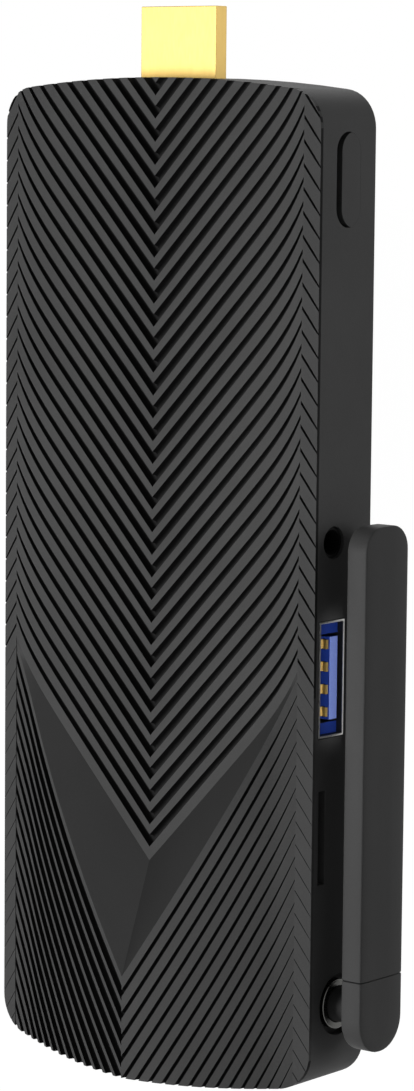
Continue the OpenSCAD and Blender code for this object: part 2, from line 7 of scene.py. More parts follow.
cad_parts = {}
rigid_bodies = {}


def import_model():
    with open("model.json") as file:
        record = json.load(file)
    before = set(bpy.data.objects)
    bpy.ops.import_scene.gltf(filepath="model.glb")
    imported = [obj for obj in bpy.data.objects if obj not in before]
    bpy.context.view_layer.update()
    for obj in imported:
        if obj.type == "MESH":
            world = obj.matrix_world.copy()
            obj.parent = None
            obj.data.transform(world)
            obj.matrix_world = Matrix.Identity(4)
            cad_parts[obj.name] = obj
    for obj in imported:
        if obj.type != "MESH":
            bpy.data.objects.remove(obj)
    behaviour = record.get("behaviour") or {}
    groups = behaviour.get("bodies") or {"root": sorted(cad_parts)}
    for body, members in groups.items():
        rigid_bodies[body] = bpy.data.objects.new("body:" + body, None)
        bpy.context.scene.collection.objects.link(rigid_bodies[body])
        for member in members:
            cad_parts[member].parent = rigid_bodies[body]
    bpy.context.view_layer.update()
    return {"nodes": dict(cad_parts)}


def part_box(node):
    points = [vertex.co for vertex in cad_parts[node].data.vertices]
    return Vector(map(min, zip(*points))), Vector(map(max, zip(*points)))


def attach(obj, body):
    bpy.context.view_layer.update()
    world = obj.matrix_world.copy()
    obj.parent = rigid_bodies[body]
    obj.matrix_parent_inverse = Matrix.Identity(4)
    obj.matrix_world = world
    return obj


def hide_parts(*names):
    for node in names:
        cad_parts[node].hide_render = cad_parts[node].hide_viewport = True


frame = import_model()

# Camera
# The view is from the right of the front and a little above, about half a metre away, through a long
# lens that keeps the upright sides of the case nearly parallel.
MM = 0.001
view_turn = math.radians(39)
view_drop = math.radians(6.688)
view_roll = math.radians(0.555)
eye = Vector((335.65, -409.12, -5.33)) * MM
sensor_mm = 36
focal_px = 3667.3
image_height_px = 1091
back = Vector((math.sin(view_turn) * math.cos(view_drop), -math.cos(view_turn) * math.cos(view_drop),
               math.sin(view_drop)))
level = Vector((math.cos(view_turn), math.sin(view_turn), 0))
upright = back.cross(level)
right = level * math.cos(view_roll) + upright * math.sin(view_roll)
up = upright * math.cos(view_roll) - level * math.sin(view_roll)
camera = bpy.data.objects.new("camera", bpy.data.cameras.new("camera"))
camera.data.sensor_width = sensor_mm
camera.data.lens = sensor_mm * focal_px / image_height_px
camera.matrix_world = Matrix.Translation(eye) @ Matrix((right, up, back)).transposed().to_4x4()
bpy.context.collection.objects.link(camera)
bpy.context.scene.camera = camera

# Rear case
# A deep tub moulded in charcoal ABS, with the openings for the ports in its right wall and the flat back
# in one piece. The back edge is rounded by the mould, and the outside has a fine spark-eroded texture.

# Corners closer than same_point, in metres, are one; button_z is the middle of the power button's slot
same_point = 1e-7
button_z = -14.0
case_low, case_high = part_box("rear_case")


def linear(code):
    """Linear colour of an sRGB hex code."""
    parts = [int(code[i:i + 2], 16) / 255 for i in (1, 3, 5)]
    return [c / 12.92 if c <= 0.04045 else ((c + 0.055) / 1.055) ** 2.4 for c in parts] + [1.0]


def add_node(tree, kind, settings=None, inputs=None):
    """Adds a node, sets its properties, and sets or links its inputs by name or number."""
    made = tree.nodes.new(kind)
    for key, value in (settings or {}).items():
        setattr(made, key, value)
    for key, value in (inputs or {}).items():
        if isinstance(value, bpy.types.NodeSocket):
            tree.links.new(value, made.inputs[key])
        else:
            made.inputs[key].default_value = value
    return made


def moulded_plastic(name, dark, light, rough, grit_mm, depth_mm, gloss=0.06):
    """Moulded plastic: a fine grain breaks up the sheen, and a slow cloud slightly mottles the colour."""
    # Real grain is about 0.1 mm and less: it is drawn up to five times as coarse, since it wouldn't show
    cloud_mm = 18
    sheen_spread = 0.06
    made = bpy.data.materials.new(name)
    made.use_nodes = True
    tree = made.node_tree
    shader = tree.nodes["Principled BSDF"]
    place = add_node(tree, "ShaderNodeTexCoord").outputs["Object"]
    grain = add_node(tree, "ShaderNodeTexNoise", None, {
        "Vector": place, "Scale": 1 / (grit_mm * MM), "Detail": 2.0, "Roughness": 0.6}).outputs["Fac"]
    cloud = add_node(tree, "ShaderNodeTexNoise", None, {
        "Vector": place, "Scale": 1 / (cloud_mm * MM), "Detail": 3.0}).outputs["Fac"]
    blend = add_node(tree, "ShaderNodeMath", {"operation": "MULTIPLY_ADD"}, {0: grain, 1: 0.7, 2: cloud})
    shade = add_node(tree, "ShaderNodeValToRGB", None, {"Fac": blend.outputs[0]})
    shade.color_ramp.elements[0].position = 0.45
    shade.color_ramp.elements[0].color = linear(dark)
    shade.color_ramp.elements[1].position = 1.0
    shade.color_ramp.elements[1].color = linear(light)
    tree.links.new(shade.outputs["Color"], shader.inputs["Base Color"])
    polish = add_node(tree, "ShaderNodeMapRange", None, {
        "Value": grain, "From Min": 0.3, "From Max": 0.7, "To Min": rough - sheen_spread,
        "To Max": rough + sheen_spread})
    tree.links.new(polish.outputs["Result"], shader.inputs["Roughness"])
    relief = add_node(tree, "ShaderNodeBump", None, {
        "Height": grain, "Strength": 1.0, "Distance": depth_mm * MM})
    tree.links.new(relief.outputs["Normal"], shader.inputs["Normal"])
    shader.inputs["IOR"].default_value = 1.5
    shader.inputs["Specular IOR Level"].default_value = gloss
    return made


def node_shape(node):
    """Copy of a solid's mesh to edit, with its loose triangles joined."""
    shape = bmesh.new()
    shape.from_mesh(frame["nodes"][node].data)
    bmesh.ops.remove_doubles(shape, verts=shape.verts, dist=same_point)
    return shape


def eased_copy(node, name, radius_mm, steps=2, first=None, crisp=None):
    """Copy of a solid with its edges rounded; first gives some a radius of their own, crisp keeps some."""
    flat_angle = 0.002
    corner_angle = math.radians(28)
    shape = node_shape(node)
    bmesh.ops.dissolve_limit(shape, angle_limit=flat_angle, verts=shape.verts, edges=shape.edges)
    rounds = ([first] if first else []) + [(lambda edge: True, radius_mm, steps)]
    for chosen, radius, segments in rounds:
        edges = [e for e in shape.edges if len(e.link_faces) == 2 and chosen(e) and not (crisp and crisp(e))
                 and e.calc_face_angle(0) > corner_angle]
        bmesh.ops.bevel(shape, geom=edges, offset=radius * MM, offset_type="OFFSET", segments=segments,
                        profile=0.5, affect="EDGES", clamp_overlap=True)
    made = finished(shape, name)
    even = made.modifiers.new("flat faces stay flat", "WEIGHTED_NORMAL")
    even.keep_sharp = True
    made.data = bpy.data.meshes.new_from_object(made.evaluated_get(bpy.context.evaluated_depsgraph_get()))
    made.modifiers.remove(even)
    return made


def finished(shape, name, sharp=32):
    """Object from an edited mesh, smooth but for its sharp edges and the borders between finishes."""
    bmesh.ops.remove_doubles(shape, verts=shape.verts, dist=same_point)
    mesh = bpy.data.meshes.new(name)
    shape.normal_update()
    for face in shape.faces:
        face.smooth = True
    for edge in shape.edges:
        alike = len({face.material_index for face in edge.link_faces}) == 1
        edge.smooth = alike and edge.calc_face_angle(0) < math.radians(sharp)
    shape.to_mesh(mesh)
    shape.free()
    made = bpy.data.objects.new(name, mesh)
    bpy.context.collection.objects.link(made)
    return made


def on_back_edge(edge):
    """True for the outer edge where the walls turn into the back, corners included."""
    corner_reach = 7 * MM
    flat = all(abs(v.co.y - case_high[1]) < 0.01 * MM for v in edge.verts)
    at = (edge.verts[0].co + edge.verts[1].co) / 2
    rim = min(at.x - case_low[0], case_high[0] - at.x, at.z - case_low[2], case_high[2] - at.z)
    return flat and rim < corner_reach


def on_button_slot(edge):
    """True for the rim of the power button's slot, which is left as the mould cut it."""
    half_slot = Vector((3, 3, 7)) * MM
    at = (edge.verts[0].co + edge.verts[1].co) / 2 - Vector((case_high[0], 0, button_z * MM))
    return at.x > -half_slot.x and abs(at.y) < half_slot.y and abs(at.z) < half_slot.z


# Spark-eroded ABS looks an even, soft charcoal, with a faint sparkle and no clear reflection
case_abs = moulded_plastic("charcoal ABS, eroded finish", "#404040", "#474747", 0.55, 0.28, 0.012)
rear_case = eased_copy(
    "rear_case", "rear_case_moulded", 0.12, first=(on_back_edge, 0.6, 4), crisp=on_button_slot)
rear_case.data.materials.append(case_abs)
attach(rear_case, "case")
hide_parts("rear_case")

# Front cover
# A separate charcoal ABS moulding that drops into the tub. Its upper face and its raised lower face carry
# slanting ribs that meet in a herringbone on the centre line; two plain facets form the vee between them.

# Heights count from the lower end of the case and depths from the front of the tub, in millimetres.
# plug_depth and body_height lead from there to the frame's origin. At the knee the shoulders begin.
plug_depth = 6.26
body_height = 144.0
half_width = 29.0
knee = 26.4
rib_pitch = 3.28


def rib_slab_tree():
    """Closed slab of ribs for one half of a face: the rows follow the grooves, the columns run outwards."""
    tree = bpy.data.node_groups.new("rib slab", "GeometryNodeTree")
    whole = ("Ribs", "Rows per Rib", "Columns")
    sizes = ("Near", "Far", "Side", "Start", "Pitch", "Slope", "Bend", "Bend At", "Bend Power", "Lean",
             "Groove Near", "Groove Far", "Depth Near", "Depth Far", "Taper At", "Taper End", "Height",
             "Fall", "Round", "Skirt Height", "Skirt Fall", "Foot", "Head", "Back", "Shift Y", "Shift Z")
    for name in whole:
        tree.interface.new_socket(name, in_out="INPUT", socket_type="NodeSocketInt")
    for name in sizes:
        tree.interface.new_socket(name, in_out="INPUT", socket_type="NodeSocketFloat")
    for name in ("Material", "Painted Shade Material"):
        tree.interface.new_socket(name, in_out="INPUT", socket_type="NodeSocketMaterial")
    tree.interface.new_socket("Geometry", in_out="OUTPUT", socket_type="NodeSocketGeometry")
    size = add_node(tree, "NodeGroupInput").outputs
    calc = "ShaderNodeMath"
    plus, minus, times, over, times_plus, above = [{"operation": kind} for kind in (
        "ADD", "SUBTRACT", "MULTIPLY", "DIVIDE", "MULTIPLY_ADD", "GREATER_THAN")]
    rows = add_node(tree, calc, times, {0: size["Ribs"], 1: size["Rows per Rib"]}).outputs[0]
    lines = add_node(tree, calc, plus, {0: rows, 1: 1.0}).outputs[0]
    block = add_node(tree, "GeometryNodeMeshCube", None, {
        "Size": (1, 1, 1), "Vertices X": size["Columns"], "Vertices Y": lines,
        "Vertices Z": 2}).outputs["Mesh"]
    at = add_node(tree, "ShaderNodeSeparateXYZ", None, {
        0: add_node(tree, "GeometryNodeInputPosition").outputs[0]}).outputs
    across = add_node(tree, calc, plus, {0: at["X"], 1: 0.5}).outputs[0]
    along = add_node(tree, calc, plus, {0: at["Y"], 1: 0.5}).outputs[0]
    out = add_node(tree, "ShaderNodeMapRange", {"clamp": False}, {
        "Value": across, "To Min": size["Near"], "To Max": size["Far"]}).outputs["Result"]
    row = add_node(tree, calc, times, {0: along, 1: size["Ribs"]}).outputs[0]
    # Two thirds of a rib's rows lie in its flute, which is round in section, and the rest on the flat land
    flute_edge = 1 / 3
    rib_edge = 1 / 2
    middle = add_node(tree, calc, {"operation": "FLOOR"}, {0: row}).outputs[0]
    offset = add_node(tree, calc, minus, {0: row, 1: middle}).outputs[0]
    offset = add_node(tree, calc, minus, {0: offset, 1: 0.5}).outputs[0]
    near = add_node(tree, calc, {"operation": "ABSOLUTE"}, {0: offset}).outputs[0]
    turn = add_node(tree, calc, {"operation": "SIGN"}, {0: offset}).outputs[0]
    in_flute = add_node(tree, "ShaderNodeMapRange", None, {
        "Value": near, "From Max": flute_edge}).outputs["Result"]
    on_land = add_node(tree, "ShaderNodeMapRange", None, {
        "Value": near, "From Min": flute_edge, "From Max": rib_edge}).outputs["Result"]
    width = add_node(tree, "ShaderNodeMapRange", None, {
        "Value": across, "To Min": size["Groove Near"], "To Max": size["Groove Far"]}).outputs["Result"]
    width = add_node(tree, calc, over, {0: width, 1: size["Lean"]}).outputs[0]
    taper = add_node(tree, "ShaderNodeMapRange", None, {
        "Value": across, "From Min": size["Taper At"], "To Min": 1.0,
        "To Max": size["Taper End"]}).outputs["Result"]
    width = add_node(tree, calc, times, {0: width, 1: taper}).outputs[0]
    land = add_node(tree, calc, times, {0: size["Pitch"], 1: 0.5}).outputs[0]
    land = add_node(tree, calc, minus, {0: land, 1: width}).outputs[0]
    reach = add_node(tree, calc, times, {0: in_flute, 1: width}).outputs[0]
    reach = add_node(tree, calc, times_plus, {0: on_land, 1: land, 2: reach}).outputs[0]
    share = add_node(tree, calc, times, {0: in_flute, 1: in_flute}).outputs[0]
    share = add_node(tree, calc, minus, {0: 1.0, 1: share}).outputs[0]
    share = add_node(tree, calc, {"operation": "SQRT"}, {0: share}).outputs[0]
    depth = add_node(tree, "ShaderNodeMapRange", None, {
        "Value": across, "To Min": size["Depth Near"], "To Max": size["Depth Far"]}).outputs["Result"]
    depth = add_node(tree, calc, times, {0: depth, 1: taper}).outputs[0]
    groove = add_node(tree, calc, times, {0: share, 1: depth}).outputs[0]
    # Crown of the face: a parabola that a straight skirt takes over from towards the side
    square = add_node(tree, calc, times, {0: out, 1: out}).outputs[0]
    crown = add_node(tree, calc, times, {0: out, 1: size["Fall"]}).outputs[0]
    crown = add_node(tree, calc, times_plus, {0: square, 1: size["Round"], 2: crown}).outputs[0]
    crown = add_node(tree, calc, minus, {0: size["Height"], 1: crown}).outputs[0]
    skirt = add_node(tree, calc, times, {0: out, 1: size["Skirt Fall"]}).outputs[0]
    skirt = add_node(tree, calc, minus, {0: size["Skirt Height"], 1: skirt}).outputs[0]
    crown = add_node(tree, calc, {"operation": "MAXIMUM"}, {0: crown, 1: skirt}).outputs[0]
    front = add_node(tree, calc, minus, {0: groove, 1: crown}).outputs[0]
    is_front = add_node(tree, calc, above, {0: at["Z"], 1: 0.0}).outputs[0]
    depth_y = add_node(tree, "ShaderNodeMapRange", {"clamp": False}, {
        "Value": is_front, "To Min": size["Back"], "To Max": front}).outputs["Result"]
    # Height of the row: straight from the centre line, bent up towards the side
    bent = add_node(tree, calc, over, {0: out, 1: size["Bend At"]}).outputs[0]
    bent = add_node(tree, calc, {"operation": "POWER"}, {0: bent, 1: size["Bend Power"]}).outputs[0]
    rise = add_node(tree, calc, times_plus, {0: middle, 1: size["Pitch"], 2: size["Start"]}).outputs[0]
    rise = add_node(tree, calc, times_plus, {0: turn, 1: reach, 2: rise}).outputs[0]
    rise = add_node(tree, calc, times_plus, {0: out, 1: size["Slope"], 2: rise}).outputs[0]
    rise = add_node(tree, calc, times_plus, {0: bent, 1: size["Bend"], 2: rise}).outputs[0]
    # The first and the last land may be longer than the others
    row_slack = 0.0001
    first = add_node(tree, calc, {"operation": "LESS_THAN"}, {0: along, 1: row_slack}).outputs[0]
    last = add_node(tree, calc, above, {0: along, 1: 1 - row_slack}).outputs[0]
    foot = add_node(tree, calc, times, {0: first, 1: size["Foot"]}).outputs[0]
    rise = add_node(tree, calc, minus, {0: rise, 1: foot}).outputs[0]
    rise = add_node(tree, calc, times_plus, {0: last, 1: size["Head"], 2: rise}).outputs[0]
    place = add_node(tree, "ShaderNodeCombineXYZ", None, {
        "X": add_node(tree, calc, times, {0: out, 1: size["Side"]}).outputs[0],
        "Y": add_node(tree, calc, minus, {0: depth_y, 1: size["Shift Y"]}).outputs[0],
        "Z": add_node(tree, calc, minus, {0: rise, 1: size["Shift Z"]}).outputs[0]}).outputs[0]
    scaled = add_node(tree, "ShaderNodeVectorMath", {"operation": "SCALE"}, {
        0: place, "Scale": MM}).outputs[0]
    # Faces that lie deeper than the lip of a flute take the flutes' painted shade, a near-black copy of the
    # cover's plastic
    flute_lip = 0.02
    cut = add_node(tree, calc, times, {0: groove, 1: is_front}).outputs[0]
    sunk = add_node(tree, "GeometryNodeCaptureAttribute", {"domain": "FACE"})
    sunk.capture_items.new("FLOAT", "Depth")
    tree.links.new(block, sunk.inputs[0])
    tree.links.new(cut, sunk.inputs[1])
    moved = add_node(tree, "GeometryNodeSetPosition", None, {"Geometry": sunk.outputs[0], "Position": scaled})
    real = add_node(tree, "GeometryNodeRealizeInstances", None, {0: moved.outputs[0]})
    dressed = add_node(tree, "GeometryNodeSetMaterial", None, {
        0: real.outputs[0], "Material": size["Material"]})
    in_flute = add_node(tree, calc, above, {0: sunk.outputs[1], 1: flute_lip}).outputs[0]
    dressed = add_node(tree, "GeometryNodeSetMaterial", None, {
        0: dressed.outputs[0], "Selection": in_flute, "Material": size["Painted Shade Material"]})
    add_node(tree, "NodeGroupOutput", None, {0: dressed.outputs[0]})
    return tree


def cut_off(shape, point, normal):
    """Takes away what lies beyond a plane, on the side that its normal points to."""
    bmesh.ops.bisect_plane(shape, geom=shape.verts[:] + shape.edges[:] + shape.faces[:], dist=1e-9,
                           plane_co=point, plane_no=normal, clear_outer=True)


def add_shape(shape, other):
    """Adds another edited mesh to this one."""
    loose = bpy.data.meshes.new("loose")
    other.to_mesh(loose)
    other.free()
    shape.from_mesh(loose)
    bpy.data.meshes.remove(loose)


def grown(name, tree, values, planes=()):
    """Plain mesh of what a tree makes with these values, cut off at each plane and closed there."""
    made = bpy.data.objects.new(name, bpy.data.meshes.new(name))
    bpy.context.collection.objects.link(made)
    grow = made.modifiers.new("grow", "NODES")
    grow.node_group = tree
    for item in tree.interface.items_tree:
        if item.in_out == "INPUT" and item.name in values:
            grow[item.identifier] = values[item.name]
    plain = bpy.data.meshes.new_from_object(made.evaluated_get(bpy.context.evaluated_depsgraph_get()))
    made.modifiers.remove(grow)
    made.data = plain
    shape = bmesh.new()
    shape.from_mesh(plain)
    bmesh.ops.remove_doubles(shape, verts=shape.verts, dist=same_point)
    bmesh.ops.recalc_face_normals(shape, faces=shape.faces)
    for point, normal in planes:
        if any((v.co - point).dot(normal) > same_point for v in shape.verts):
            cut_off(shape, point, normal)
            bmesh.ops.holes_fill(shape, edges=[e for e in shape.edges if e.is_boundary])
    bmesh.ops.recalc_face_normals(shape, faces=shape.faces)
    shape.to_mesh(plain)
    shape.free()
    return made


def outline_planes(side, arch=2.1, corner=5.5, steps=10):
    """Upright planes along one half of the case's outline: arched ends, round corners and a straight side."""
    arc = (half_width ** 2 + arch ** 2) / (2 * arch)
    corner_x = half_width - corner
    middle = body_height - arc
    corner_z = middle + math.sqrt((arc - corner) ** 2 - corner_x ** 2)
    spread = math.asin(corner_x / (arc - corner))
    upper = []
    for k in range(2 * steps):
        turn = spread * k / (2 * steps)
        upper.append((arc * math.sin(turn), middle + arc * math.cos(turn)))
    for k in range(steps + 1):
        turn = spread + (math.pi / 2 - spread) * k / steps
        upper.append((corner_x + corner * math.sin(turn), corner_z + corner * math.cos(turn)))
    points = upper + [(x, body_height - z) for x, z in reversed(upper)]
    planes = []
    for (x0, z0), (x1, z1) in zip(points, points[1:]):
        normal = Vector(((z0 - z1) * side, 0, x1 - x0)).normalized()
        planes.append((Vector((x0 * side, 0, z0 - body_height)) * MM, normal))
    return planes


# Satin ABS on the lands takes a soft grey light, without a mirror image
cover_abs = moulded_plastic("charcoal ABS, ribbed cover", "#333333", "#3b3b3b", 0.5, 0.3, 0.008)
# Painted shade: the flutes are coloured near black and left matt, so each flute reads as a black line
flute_painted_shade = moulded_plastic("charcoal ABS, matt flutes with painted shade", "#181818", "#1e1e1e", 0.6, 0.3, 0.008, 0.03)
# Polished ABS on the facets looks plain and flat beside the ribs. The two facets are lit and shaded copies of
# one material: the left one is painted lighter as painted light, the right one much darker as painted shade
facet_painted_shade = {
    -1: moulded_plastic("charcoal ABS, polished left facet with painted light", "#2f2f2f", "#343434", 0.45, 0.3, 0.004),
    1: moulded_plastic("charcoal ABS, polished right facet with painted shade", "#1e1e1e", "#222222", 0.45, 0.3, 0.004)}
cover_finishes = [cover_abs, flute_painted_shade, facet_painted_shade[-1], facet_painted_shade[1]]
rim_depth = 0.35
rim_y = (rim_depth - plug_depth) * MM
rib_slab = rib_slab_tree()
shared = {
    "Rows per Rib": 12, "Pitch": rib_pitch, "Back": rim_depth, "Shift Y": plug_depth, "Shift Z": body_height,
    "Material": cover_abs, "Painted Shade Material": flute_painted_shade, "Skirt Height": -50.0, "Skirt Fall": 0.0, "Foot": 0.0,
    "Head": 0.0}
# The flutes bend up beside the shoulders. Groove is half a flute's width, Lean the cosine of its slant.
upper_start = 34.1
vee_tip = 31.2
upper_face = dict(shared, **{
    "Ribs": 35, "Columns": 25, "Near": 0.0, "Far": knee, "Start": upper_start, "Slope": 1.052, "Bend": 0.927,
    "Bend At": 24.0, "Bend Power": 10.7, "Lean": 0.69, "Groove Near": 0.63, "Groove Far": 0.34,
    "Depth Near": 1.1, "Depth Far": 0.5, "Taper At": 0.9, "Taper End": 0.7, "Height": 0.95, "Fall": 0.0125,
    "Round": 0.0, "Foot": upper_start - rib_pitch / 2 - vee_tip})
lower_ribs = 20
lower_last = 12.55
vee_low = 15.0
lower_face = dict(shared, **{
    "Ribs": lower_ribs, "Columns": 27, "Near": 0.0, "Far": knee,
    "Start": lower_last - (lower_ribs - 1) * rib_pitch, "Slope": 1.495, "Bend": 4.78, "Bend At": 24.0,
    "Bend Power": 2.73, "Lean": 0.5, "Taper At": 0.78, "Height": 6.95, "Fall": 0.115, "Round": 0.0055,
    "Skirt Height": 7.0, "Skirt Fall": 0.245, "Head": vee_low - lower_last - rib_pitch / 2})
# On the raised face the flutes are broad and deep in the left half, and narrow in the right half
lower_grooves = {
    -1: {"Groove Near": 0.58, "Groove Far": 0.58, "Depth Near": 1.0, "Depth Far": 0.9, "Taper End": 0.6},
    1: {"Groove Near": 0.26, "Groove Far": 0.22, "Depth Near": 0.7, "Depth Far": 0.45, "Taper End": 0.25}}
# The shoulders slope off to the side, with short strokes that slant the other way; past the outline they are
# cut. Each run has the height of its first stroke, the count, and a stroke's half width and depth.
shoulder_rise = 0.62
shoulder_fall = 0.42 / (half_width - knee)
shoulder_slope = -1.4
past_outline = 0.6
shoulder_runs = ((-0.7, 19, 0.06, 0.06), (61.6, 26, 0.16, 0.3))
shoulder = dict(shared, **{
    "Columns": 5, "Near": knee, "Far": half_width + past_outline, "Slope": shoulder_slope, "Bend": 0.0,
    "Bend At": 1.0, "Bend Power": 1.0, "Lean": 0.58, "Taper At": 0.6, "Taper End": 0.2,
    "Height": shoulder_rise + knee * shoulder_fall, "Fall": shoulder_fall, "Round": 0.0})
facet_steps = 24


def on_face(face, out, edge):
    """Point of a face this far out from the centre line, on the row whose height at the centre is edge."""
    crown = face["Height"] - face["Fall"] * out - face["Round"] * out ** 2
    crown = max(crown, face["Skirt Height"] - face["Skirt Fall"] * out)
    rise = edge + face["Slope"] * out + face["Bend"] * (out / face["Bend At"]) ** face["Bend Power"]
    return Vector((out, -crown - plug_depth, rise - body_height)) * MM


slabs = []
facets = []
for side in (-1, 1):
    half = {"Side": float(side)}
    planes = outline_planes(side)
    slabs.append(grown("upper_ribs", rib_slab, dict(upper_face, **half), planes))
    slabs.append(grown("lower_ribs", rib_slab, dict(lower_face, **half, **lower_grooves[side]), planes))
    for low, count, groove, depth in shoulder_runs:
        strokes = {"Ribs": count, "Start": low - shoulder_slope * knee + rib_pitch / 2, "Groove Near": groove,
                   "Groove Far": groove, "Depth Near": depth, "Depth Far": depth}
        slabs.append(grown("shoulder_ribs", rib_slab, dict(shoulder, **half, **strokes), planes))
    # The facet is a ruled surface from the last land of the upper face to the first land of the lower one
    shape = bmesh.new()
    rows = []
    for k in range(facet_steps + 1):
        out = knee * k / facet_steps
        ends = [on_face(upper_face, out, vee_tip), on_face(lower_face, out, vee_low)]
        loop = ends + [Vector((p.x, rim_y, p.z)) for p in reversed(ends)]
        rows.append([shape.verts.new((p.x * side, p.y, p.z)) for p in loop])
    for a, b in zip(rows, rows[1:]):
        for k in range(4):
            strip = shape.faces.new((a[k - 1], a[k], b[k], b[k - 1]))
            # Each facet's front takes its own copy: painted light on the left, painted shade on the right
            strip.material_index = cover_finishes.index(facet_painted_shade[side] if k == 1 else cover_abs)
    shape.faces.new(rows[0])
    shape.faces.new(rows[-1])
    bmesh.ops.recalc_face_normals(shape, faces=shape.faces)
    facets.append(finished(shape, "vee_facet"))
# The flute faces keep their near-black painted shade in the joined cover
for slab in slabs:
    for face in slab.data.polygons:
        in_painted_shade = slab.data.materials[face.material_index] == flute_painted_shade
        face.material_index = cover_finishes.index(flute_painted_shade if in_painted_shade else cover_abs)
shape = bmesh.new()
for block in slabs + facets:
    shape.from_mesh(block.data)
    bpy.data.objects.remove(block)
# Where two of these blocks meet face to face, the walls between them are taken out
weld = 0.001 * MM
bmesh.ops.remove_doubles(shape, verts=shape.verts, dist=weld)
behind = {v for v in shape.verts if abs(v.co.y - rim_y) < weld}
walls = [f for f in shape.faces if 0 < sum(v in behind for v in f.verts) < len(f.verts)]
bmesh.ops.delete(shape, context="FACES", geom=[f for f in walls if any(
    len(e.link_faces) > 2 and not behind.intersection(e.verts) for e in f.edges)])
# Behind the ribs the cover is the solid's own plate and posts
plate = node_shape("front_cover")
cut_off(plate, (0, rim_y, 0), (0, -1, 0))
add_shape(shape, plate)
front_cover = finished(shape, "front_cover_ribbed", sharp=40)
for finish in cover_finishes:
    front_cover.data.materials.append(finish)
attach(front_cover, "case")
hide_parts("front_cover")

# Assembly screws
# Four blackened steel screws with flat cross-recessed heads, sunk in the back. They clamp the tub and the
# main board to the posts of the front cover.
screw_x = 20.0
screw_low = 26.0 - body_height
screw_high = 112.0 - body_height
back_depth = 12.9 - plug_depth
# Half section of a screw, as radius and depth below the back, and the sides of its cross recess
screw_section = ((0, -0.1), (1.55, -0.1), (1.8, -0.2), (1.9, -0.42), (1.9, -1.0), (1.0, -1.0), (1.0, -11.0),
                 (0, -11.4))
recess = Vector((2.3, 0.55, 1.5)) * MM
shape = bmesh.new()
ring = [shape.verts.new((r * MM, 0, z * MM)) for r, z in screw_section]
spine = [shape.edges.new(pair) for pair in zip(ring, ring[1:])]
bmesh.ops.spin(shape, geom=ring + spine, axis=(0, 0, 1), cent=(0, 0, 0), angle=2 * math.pi, steps=36)
bmesh.ops.remove_doubles(shape, verts=shape.verts, dist=same_point)
bmesh.ops.recalc_face_normals(shape, faces=shape.faces)
screw_blank = finished(shape, "screw_blank")
for turn in (0, math.pi / 2):
    shape = bmesh.new()
    bmesh.ops.create_cube(
        shape, size=1.0, matrix=Matrix.Rotation(turn, 4, "Z") @ Matrix.Diagonal(recess.to_4d()))
    driver = finished(shape, "driver")
    sink = screw_blank.modifiers.new("sink", "BOOLEAN")
    sink.operation = "DIFFERENCE"
    sink.solver = "MANIFOLD"
    sink.object = driver
tree = bpy.data.node_groups.new("screw places", "GeometryNodeTree")
for name in ("Width", "Height", "Middle Z", "Depth"):
    tree.interface.new_socket(name, in_out="INPUT", socket_type="NodeSocketFloat")
tree.interface.new_socket("Screw", in_out="INPUT", socket_type="NodeSocketObject")
tree.interface.new_socket("Material", in_out="INPUT", socket_type="NodeSocketMaterial")
tree.interface.new_socket("Geometry", in_out="OUTPUT", socket_type="NodeSocketGeometry")
size = add_node(tree, "NodeGroupInput").outputs
grid = add_node(tree, "GeometryNodeMeshGrid", None, {
    "Size X": size["Width"], "Size Y": size["Height"], "Vertices X": 2, "Vertices Y": 2})
screw = add_node(tree, "GeometryNodeObjectInfo", None, {"Object": size["Screw"]})
set_in = add_node(tree, "GeometryNodeInstanceOnPoints", None, {
    0: grid.outputs[0], "Instance": screw.outputs["Geometry"]})
to_back = add_node(tree, "ShaderNodeCombineXYZ", None, {"Y": size["Depth"], "Z": size["Middle Z"]})
turned = add_node(tree, "GeometryNodeTransform", None, {
    0: set_in.outputs[0], "Translation": to_back.outputs[0], "Rotation": (-math.pi / 2, 0, 0)})
real = add_node(tree, "GeometryNodeRealizeInstances", None, {0: turned.outputs[0]})
dressed = add_node(tree, "GeometryNodeSetMaterial", None, {0: real.outputs[0], "Material": size["Material"]})
add_node(tree, "NodeGroupOutput", None, {0: dressed.outputs[0]})


def rolled_metal(name, tint, low, high, line_mm, along=(1, 1, 14), wave_mm=0.0008):
    """Metal with drawn or rolled lines: a stretched noise sets the polish and a very shallow relief."""
    # Real rolling lines are about 0.02 mm apart: they are drawn some five times as coarse, so that they show
    made = bpy.data.materials.new(name)
    made.use_nodes = True
    tree = made.node_tree
    shader = tree.nodes["Principled BSDF"]
    shader.inputs["Base Color"].default_value = linear(tint)
    shader.inputs["Metallic"].default_value = 1.0
    place = add_node(tree, "ShaderNodeTexCoord").outputs["Object"]
    drawn = add_node(tree, "ShaderNodeMapping", None, {
        "Vector": place, "Scale": [1 / (line_mm * MM * a) for a in along]}).outputs[0]
    lines = add_node(tree, "ShaderNodeTexNoise", None, {
        "Vector": drawn, "Scale": 1.0, "Detail": 3.0}).outputs["Fac"]
    polish = add_node(tree, "ShaderNodeMapRange", None, {
        "Value": lines, "From Min": 0.3, "From Max": 0.7, "To Min": low, "To Max": high})
    tree.links.new(polish.outputs["Result"], shader.inputs["Roughness"])
    relief = add_node(tree, "ShaderNodeBump", None, {
        "Height": lines, "Strength": 1.0, "Distance": wave_mm * MM})
    tree.links.new(relief.outputs["Normal"], shader.inputs["Normal"])
    return made


# Blackened steel looks nearly black, with a dim metal glint on the edges of the heads
black_steel = rolled_metal("blackened steel", "#2a2a2c", 0.35, 0.5, 0.15, (1, 1, 1))
case_screws = grown("case_screws_sunk", tree, {
    "Width": 2 * screw_x * MM, "Height": (screw_high - screw_low) * MM,
    "Middle Z": (screw_high + screw_low) / 2 * MM, "Depth": back_depth * MM, "Screw": screw_blank,
    "Material": black_steel})
for helper in [o for o in bpy.data.objects if o.name.startswith(("screw_blank", "driver"))]:
    bpy.data.objects.remove(helper)
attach(case_screws, "case")
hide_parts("case_screws")

# Display plug
# A folded sheet-steel shell, gold plated, round a black moulded insulator with two rows of spring
# contacts. The board carries it, and it leaves the case through the upper end.

